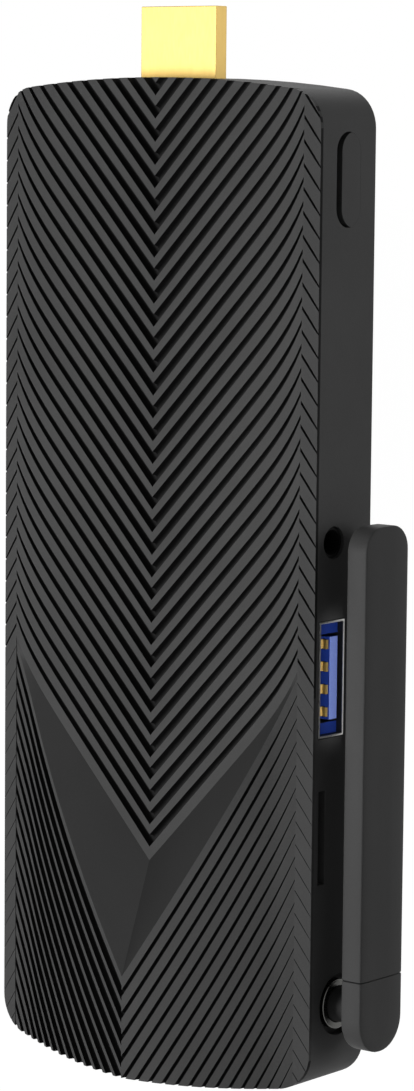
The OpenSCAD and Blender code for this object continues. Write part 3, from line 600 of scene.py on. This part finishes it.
# Thin gold over rolled steel has a broad, pale yellow shine, faintly drawn along the plug
plating = rolled_metal("gold plating on rolled steel", "#c4a865", 0.54, 0.6, 0.12, (1, 1, 14), 0.0003)
plug_shell = eased_copy("plug_shell", "plug_shell_folded", 0.14, 3)
plug_shell.data.materials.append(plating)
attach(plug_shell, "case")
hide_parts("plug_shell")
# Glass-filled nylon looks dead black and a little rough, as the fibres come to the surface
glass_nylon = moulded_plastic("black glass-filled nylon", "#0c0c0c", "#161616", 0.5, 0.2, 0.006)
plug_insulator = eased_copy("plug_insulator", "plug_insulator_moulded", 0.08)
plug_insulator.data.materials.append(glass_nylon)
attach(plug_insulator, "case")
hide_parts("plug_insulator")


def contact_row_tree():
    """Row of like spring contacts, one at each step along an axis."""
    tree = bpy.data.node_groups.new("contact row", "GeometryNodeTree")
    tree.interface.new_socket("Count", in_out="INPUT", socket_type="NodeSocketInt")
    tree.interface.new_socket("Start", in_out="INPUT", socket_type="NodeSocketVector")
    tree.interface.new_socket("Step", in_out="INPUT", socket_type="NodeSocketVector")
    tree.interface.new_socket("Contact", in_out="INPUT", socket_type="NodeSocketObject")
    tree.interface.new_socket("Material", in_out="INPUT", socket_type="NodeSocketMaterial")
    tree.interface.new_socket("Geometry", in_out="OUTPUT", socket_type="NodeSocketGeometry")
    size = add_node(tree, "NodeGroupInput").outputs
    line = add_node(tree, "GeometryNodeMeshLine", None, {
        "Count": size["Count"], "Start Location": size["Start"], "Offset": size["Step"]})
    spring = add_node(tree, "GeometryNodeObjectInfo", None, {"Object": size["Contact"]})
    placed = add_node(tree, "GeometryNodeInstanceOnPoints", None, {
        0: line.outputs[0], "Instance": spring.outputs["Geometry"]})
    real = add_node(tree, "GeometryNodeRealizeInstances", None, {0: placed.outputs[0]})
    dressed = add_node(tree, "GeometryNodeSetMaterial", None, {
        0: real.outputs[0], "Material": size["Material"]})
    add_node(tree, "NodeGroupOutput", None, {0: dressed.outputs[0]})
    return tree


def swept_strip(name, path, width, thick, across):
    """Closed strip of sheet that follows a path; across is the direction of its width."""
    shape = bmesh.new()
    across = Vector(across).normalized() * width / 2
    points = [Vector(p) for p in path]
    loops = []
    for k, point in enumerate(points):
        run = (points[min(k + 1, len(points) - 1)] - points[max(k - 1, 0)]).normalized()
        lift = run.cross(across).normalized() * thick / 2
        corners = (point - across - lift, point + across - lift, point + across + lift, point - across + lift)
        loops.append([shape.verts.new(c * MM) for c in corners])
    for a, b in zip(loops, loops[1:]):
        for k in range(4):
            shape.faces.new((a[k - 1], a[k], b[k], b[k - 1]))
    shape.faces.new(loops[0])
    shape.faces.new(loops[-1])
    bmesh.ops.recalc_face_normals(shape, faces=shape.faces)
    return finished(shape, name)


contact_row = contact_row_tree()
# Gold flash on stamped bronze looks a warm, satin yellow
contact_gold = rolled_metal("gold flash on bronze", "#d9b970", 0.45, 0.6, 0.1)
# A spring lies along its wall of the insulator and bows out near its end: distance from the wall, height
spring_bow = ((0.075, 0), (0.09, 5.2), (0.2, 6.4), (0.2, 6.9), (0.08, 7.6))
spring_width = 0.4
spring_thick = 0.14
spring_foot = 1.1
plug_rows = []
for count, wall, lean in ((10, -1.025, 1), (9, 0.875, -1)):
    path = [(0, bow * lean, height) for bow, height in spring_bow]
    spring = swept_strip("spring", path, spring_width, spring_thick, (1, 0, 0))
    plug_rows.append(grown("plug_row", contact_row, {
        "Count": count, "Start": Vector((-(count - 1) / 2, wall, spring_foot)) * MM,
        "Step": Vector((1, 0, 0)) * MM, "Contact": spring, "Material": contact_gold}))
    bpy.data.objects.remove(spring)
shape = bmesh.new()
for row in plug_rows:
    shape.from_mesh(row.data)
    bpy.data.objects.remove(row)
plug_contacts = finished(shape, "plug_contact_rows")
plug_contacts.data.materials.append(contact_gold)
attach(plug_contacts, "case")
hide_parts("plug_contacts")

# Main board and its parts
# A glass-laminate board under dark green solder mask, with the chips on its back under a silicone pad and
# an aluminium spreader, and the supply coils, clock cell and screened radio on its front. All stay as solids.

# Solder mask looks deep green and glossy, with the copper tracks under it as paler lanes, 1.2 mm apart
mask = bpy.data.materials.new("green solder mask on glass laminate")
mask.use_nodes = True
tree = mask.node_tree
shader = tree.nodes["Principled BSDF"]
place = add_node(tree, "ShaderNodeTexCoord").outputs["Object"]
flat = add_node(tree, "ShaderNodeMapping", None, {"Vector": place, "Rotation": (math.pi / 2, 0, 0)})
lanes = add_node(tree, "ShaderNodeTexBrick", {"offset": 0.37}, {
    "Vector": flat.outputs[0], "Color1": linear("#0d3a26"), "Color2": linear("#0f4630"),
    "Mortar": linear("#1d6a45"), "Scale": 1 / MM, "Mortar Size": 0.12, "Brick Width": 6.0, "Row Height": 1.2})
tree.links.new(lanes.outputs["Color"], shader.inputs["Base Color"])
shader.inputs["Roughness"].default_value = 0.35
frame["nodes"]["main_board"].material_slots[0].material = mask
# Moulded epoxy is a dull black, and pressed ferrite a grey with a powdery grain
epoxy = moulded_plastic("black epoxy moulding compound", "#111111", "#1a1a1a", 0.6, 0.15, 0.004)
ferrite = moulded_plastic("pressed ferrite", "#2b2b2d", "#3a3a3c", 0.7, 0.25, 0.01)
# Filled silicone is a dry blue-grey, and an extruded fluoropolymer jacket a smooth black with some shine
silicone = moulded_plastic("grey silicone gap pad", "#7d8794", "#949eaa", 0.75, 0.4, 0.01)
lead_jacket = moulded_plastic("black fluoropolymer jacket", "#0d0d0d", "#171717", 0.4, 0.3, 0.004)
# Etched copper under a clear coat is a dull red-brown
laminate = moulded_plastic("copper-clad laminate strip", "#9c5f38", "#b8744a", 0.35, 0.5, 0.004)
# Tinned steel is a bright, slightly soft mirror, and rolled aluminium a paler one, both drawn in fine lines
tinplate = rolled_metal("tinned sheet steel", "#c4c4c2", 0.25, 0.38, 0.1)
rolled_aluminium = rolled_metal("rolled aluminium", "#d2d3d5", 0.3, 0.42, 0.15)
for finish, node_names in (
        (epoxy, ("processor", "memory_chips", "storage_chip")),
        (ferrite, ("power_inductors",)),
        (silicone, ("thermal_pad",)),
        (lead_jacket, ("antenna_cable",)),
        (laminate, ("antenna_element",)),
        (tinplate, ("clock_battery", "radio_module", "button_switch", "jack_terminals", "hinge_clip",
                    "card_cover")),
        (rolled_aluminium, ("heat_spreader",)),
        (glass_nylon, ("switch_plunger", "card_socket"))):
    for node_name in node_names:
        frame["nodes"][node_name].material_slots[0].material = finish

# Side ports and power button
# Behind the right wall sit a data port in a sheet-steel shell with a blue tongue, a black audio jack and a
# card slot; the left wall has the power inlet. The power button is a loose ABS key with a finger notch.

# Connector nylon is a clear, slightly waxy blue, in two copies: a pale one with painted light for the end
# face, and a dark one with painted shade for the rest of the tongue and the plates in the tray
end_face_painted_light = moulded_plastic("blue connector nylon", "#788ddc", "#8a9ee6", 0.4, 0.2, 0.004)
tongue_painted_shade = moulded_plastic("blue connector nylon, painted shade", "#1b2f78", "#223a8a", 0.45, 0.2, 0.004)
# Painted shade: inside the shell the sheet steel is coloured a dim grey, and only the rim keeps the bright
# tinplate
shell_painted_shade = rolled_metal("sheet steel inside the shell, painted shade", "#3c3d40", 0.4, 0.55, 0.2)
for node_name, name, radius, finish, slot_name in (
        ("audio_jack", "audio_jack_moulded", 0.1, glass_nylon, "black_insulator"),
        ("inlet_shell", "inlet_shell_drawn", 0.06, tinplate, "tinned_steel"),
        ("inlet_tongue", "inlet_tongue_moulded", 0.08, glass_nylon, "black_insulator")):
    piece = eased_copy(node_name, name, radius)
    piece.data.materials.append(finish)
    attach(piece, "case")
    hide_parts(node_name)
data_shell = eased_copy("data_shell", "data_shell_folded", 0.06)
data_shell.data.materials.append(tinplate)
data_shell.data.materials.append(shell_painted_shade)
shell_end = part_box("data_shell")[1][0]
rim_width = 0.15 * MM
# Faces behind the rim take the dim grey painted shade
for face in data_shell.data.polygons:
    face.material_index = 0 if face.center.x > shell_end - rim_width else 1
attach(data_shell, "case")
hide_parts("data_shell")
# The tongue ends close behind the rim. Dark blue plates with painted shade stand for the housing in the tray
# above and below it, and under each contact lies a thin black plate, a painted shadow for its slot in the
# tongue. A block has its finish, middle and sides.
port_y = 3.9 - plug_depth
port_z = 60.3 - body_height
tongue_end = 28.5
mouth_depth = 5.12
tongue_inset = 2.7
tongue_face = port_y - mouth_depth / 2 + tongue_inset
contact_pitch = 3.2
contact_first = port_z - 1.5 * contact_pitch
painted_light_skin = 0.05
end_reach = 1 * MM
solid_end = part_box("data_tongue")[1][0]
tongue = eased_copy("data_tongue", "tongue_blank", 0.1)
shape = bmesh.new()
shape.from_mesh(tongue.data)
bpy.data.objects.remove(tongue)
for vert in shape.verts:
    if vert.co.x > solid_end - end_reach:
        vert.co.x += tongue_end * MM - solid_end
# Only the end face takes the pale copy with painted light; the rest of the tongue takes the dark copy with
# painted shade
for face in shape.faces:
    face.material_index = 0 if face.calc_center_median().x > (tongue_end - painted_light_skin) * MM else 1
# Dark blue tray plates with painted shade, and thin black plates as painted shadows of the contacts' slots
blocks = [(1, (27.92, port_y, port_z + 7.1 * end), (0.22, 5.0, 1.6)) for end in (-1, 1)]
blocks += [(2, (27.5, tongue_face, contact_first + contact_pitch * k), (0.5, 0.06, 1.5)) for k in range(4)]
for index, middle, sides in blocks:
    block = bmesh.ops.create_cube(shape, size=1.0, matrix=Matrix.Translation(
        Vector(middle) * MM) @ Matrix.Diagonal((Vector(sides) * MM).to_4d()))
    for vert in block["verts"]:
        for face in vert.link_faces:
            face.material_index = index
data_tongue = finished(shape, "data_tongue_moulded")
for finish in (end_face_painted_light, tongue_painted_shade, glass_nylon):
    data_tongue.data.materials.append(finish)
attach(data_tongue, "case")
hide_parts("data_tongue")
# A data contact lies on the tongue, with a high bow and a low one near its end: reach, then height
contact_bows = ((19.0, -0.08), (25.6, -0.1), (26.5, -0.75), (26.95, -0.78), (27.35, -0.1), (27.6, -0.05),
                (27.75, -0.3), (28.1, -0.3), (28.2, 0.0))
contact_width = 1.3
path = [(reach, bow, 0) for reach, bow in contact_bows]
spring = swept_strip("spring", path, contact_width, spring_thick, (0, 0, 1))
data_contacts = grown("data_contact_springs", contact_row, {
    "Count": 4, "Start": Vector((0, tongue_face, contact_first)) * MM,
    "Step": Vector((0, 0, contact_pitch)) * MM, "Contact": spring, "Material": contact_gold})
bpy.data.objects.remove(spring)
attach(data_contacts, "case")
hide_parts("data_contacts")
# The key of the button is flush with the wall and fills its slot
key_root = 27.2
key_sink = 0.05
key_wider = 5.48 / 5.3
key_longer = 13.28 / 13.1
power_button = eased_copy("power_button", "power_button_moulded", 0.03)
for vert in power_button.data.vertices:
    if vert.co.x > key_root * MM:
        vert.co.x -= key_sink * MM
        vert.co.y *= key_wider
        vert.co.z = (vert.co.z - button_z * MM) * key_longer + button_z * MM
power_button.data.materials.append(case_abs)
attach(power_button, "button")
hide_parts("power_button")

# Antenna
# A flat ABS blade with a slightly crowned outer face, closed on a short base. The base turns on its round
# neck in a turned collar, plated in dark nickel, that is pressed into the recess of the side wall.
hinge_y = 6.6 - plug_depth
hinge_z = 13.2 - body_height
antenna_x = 33.0
blade_half = 4.9
blade_top = 69.0
blade_low = -5.7
seam = 4.9
half_gap = 0.05
seam_edge = 0.08
# Stacked outlines, each with its inset and its distance from the inner face: the last ones are the crown
blade_levels = ((0.45, 0.0), (0.2, 0.06), (0.06, 0.2), (0.0, 0.45), (0.0, 3.22), (0.03, 3.33), (0.1, 3.41),
                (0.25, 3.455), (0.7, 3.51), (1.4, 3.56), (2.2, 3.59), (3.2, 3.6))


def blade_loop(inset):
    """Outline of the antenna in Y and Z about the hinge: tight corners at the tip, a rounder hinge end."""
    tip_radius = 3.5
    low_radius = 4.7
    steps = 10
    points = []
    for quarter, y_sign in enumerate((1, -1, -1, 1)):
        r = tip_radius if quarter < 2 else low_radius
        z_mid = blade_top - r if quarter < 2 else blade_low + r
        for k in range(steps + 1):
            angle = math.pi / 2 * (quarter + k / steps)
            y = y_sign * (blade_half - r) + (r - inset) * math.cos(angle)
            points.append((y, z_mid + (r - inset) * math.sin(angle)))
    return points


def blade_part(keep_above):
    """Antenna above or below its seam, closed and lightly chamfered there."""
    shape = bmesh.new()
    loops = []
    for inset, x in blade_levels:
        ring = [Vector((antenna_x + x, hinge_y + y, hinge_z + z)) * MM for y, z in blade_loop(inset)]
        loops.append([shape.verts.new(point) for point in ring])
    for a, b in zip(loops, loops[1:]):
        for k in range(len(a)):
            shape.faces.new((a[k - 1], a[k], b[k], b[k - 1]))
    shape.faces.new(loops[0])
    shape.faces.new(loops[-1])
    bmesh.ops.remove_doubles(shape, verts=shape.verts, dist=same_point)
    bmesh.ops.recalc_face_normals(shape, faces=shape.faces)
    away = -1 if keep_above else 1
    seam_z = (hinge_z + seam - away * half_gap) * MM
    cut_off(shape, (0, 0, seam_z), (0, 0, away))
    bmesh.ops.holes_fill(shape, edges=[e for e in shape.edges if e.is_boundary])
    rim = [e for e in shape.edges if all(abs(v.co.z - seam_z) < same_point for v in e.verts)]
    bmesh.ops.bevel(shape, geom=rim, offset=seam_edge * MM, segments=1, profile=0.5, affect="EDGES")
    bmesh.ops.recalc_face_normals(shape, faces=shape.faces)
    return shape


# Smooth moulded ABS looks an even dark grey, with a long soft light along the rounded edges
antenna_abs = moulded_plastic("charcoal ABS, smooth antenna", "#373737", "#3d3d3d", 0.5, 0.28, 0.006)
antenna_blade = finished(blade_part(True), "antenna_blade_moulded", sharp=40)
antenna_blade.data.materials.append(antenna_abs)
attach(antenna_blade, "antenna")
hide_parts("antenna_blade")
# Behind the inner face the base is the solid's own neck, cut just short of that face
neck_end = antenna_x - 0.001
shape = blade_part(False)
neck = node_shape("antenna_base")
cut_off(neck, (neck_end * MM, 0, 0), (1, 0, 0))
add_shape(shape, neck)
antenna_base = finished(shape, "antenna_base_moulded", sharp=40)
antenna_base.data.materials.append(antenna_abs)
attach(antenna_base, "antenna")
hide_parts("antenna_base")
# Dark nickel over turned brass is a deep grey mirror, which shows as a thin bright arc in the recess
nickel = rolled_metal("nickel plating on turned brass", "#565654", 0.2, 0.3, 0.1, (14, 1, 1))
hinge_collar = eased_copy("hinge_collar", "hinge_collar_turned", 0.5, 5)
hinge_collar.data.materials.append(nickel)
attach(hinge_collar, "case")
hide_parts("hinge_collar")

# Floor and light
# A white studio floor just below the reach of the antenna, and an even white surround. The key lamp stands
# low on the left, a weaker one on the right and one high at the back. A slim lamp lights the data port.
floor_gap = 0.5
floor_half = 6.0
floor_glow = 1.09
glow_share = 0.9
surround_light = 0.08
surround_seen = 1.0
floor_z = (hinge_z - blade_top - floor_gap) * MM
shape = bmesh.new()
bmesh.ops.create_grid(
    shape, x_segments=2, y_segments=2, size=floor_half, matrix=Matrix.Translation((0, 0, floor_z)))
floor = finished(shape, "floor")


def background_rays(tree):
    """Socket that is 1 for what the camera sees, also in a mirror or through glass, and 0 for lighting."""
    rays = add_node(tree, "ShaderNodeLightPath").outputs
    direct = add_node(tree, "ShaderNodeMath", {"operation": "MAXIMUM"}, {
        0: rays["Is Camera Ray"], 1: rays["Is Glossy Ray"]})
    return add_node(tree, "ShaderNodeMath", {"operation": "MAXIMUM"}, {
        0: direct.outputs[0], 1: rays["Is Transmission Ray"]}).outputs[0]


# Matt white paint that glows to white for the eye, and keeps a faint shadow
pale = bpy.data.materials.new("white studio floor")
pale.use_nodes = True
tree = pale.node_tree
matt = tree.nodes["Principled BSDF"]
matt.inputs["Base Color"].default_value = linear("#f4f4f4")
matt.inputs["Roughness"].default_value = 0.9
part = add_node(tree, "ShaderNodeMath", {"operation": "MULTIPLY"}, {0: background_rays(tree), 1: glow_share})
glow = add_node(tree, "ShaderNodeEmission", None, {"Color": linear("#ffffff"), "Strength": floor_glow})
both = add_node(tree, "ShaderNodeMixShader", None, {
    0: part.outputs[0], 1: matt.outputs[0], 2: glow.outputs[0]})
tree.links.new(both.outputs[0], tree.nodes["Material Output"].inputs["Surface"])
floor.data.materials.append(pale)
# The key lamp reaches below the floor, so the floor itself shades nothing
floor.visible_shadow = False

world = bpy.data.worlds.new("surround")
bpy.context.scene.world = world
world.use_nodes = True
tree = world.node_tree
strength = add_node(tree, "ShaderNodeMapRange", None, {
    "Value": background_rays(tree), "To Min": surround_light, "To Max": surround_seen})
tree.nodes["Background"].inputs["Color"].default_value = linear("#ffffff")
tree.links.new(strength.outputs["Result"], tree.nodes["Background"].inputs["Strength"])


def lamp(name, turn, rise, distance, size, watts, target=(0, 0, -70)):
    """Soft square lamp; turn and rise, in degrees, say where it stands as seen from the point it lights."""
    data = bpy.data.lights.new(name, "AREA")
    data.size = size
    data.energy = watts
    made = bpy.data.objects.new(name, data)
    turn = math.radians(turn)
    rise = math.radians(rise)
    aim = Vector((math.sin(turn) * math.cos(rise), -math.cos(turn) * math.cos(rise), math.sin(rise)))
    made.location = aim * distance + Vector(target) * MM
    made.rotation_euler = aim.to_track_quat("Z", "Y").to_euler()
    bpy.context.collection.objects.link(made)
    return made


# Distances and sizes are in metres. The pencil is slim and upright, and stands beside the antenna.
lamp("key", -26, -5, 1.0, 0.4, 11.2)
lamp("side", 112, 10, 1.0, 0.5, 3.3)
lamp("back", 200, 45, 1.0, 0.5, 1.6)
pencil = lamp("pencil", 43, 0, 0.08, 0.002, 0.00014, (28.6, -2.0, port_z))
pencil.data.shape = "RECTANGLE"
pencil.data.size_y = 0.018
pencil.data.spread = math.radians(4)
bpy.context.scene.view_settings.view_transform = "Standard"
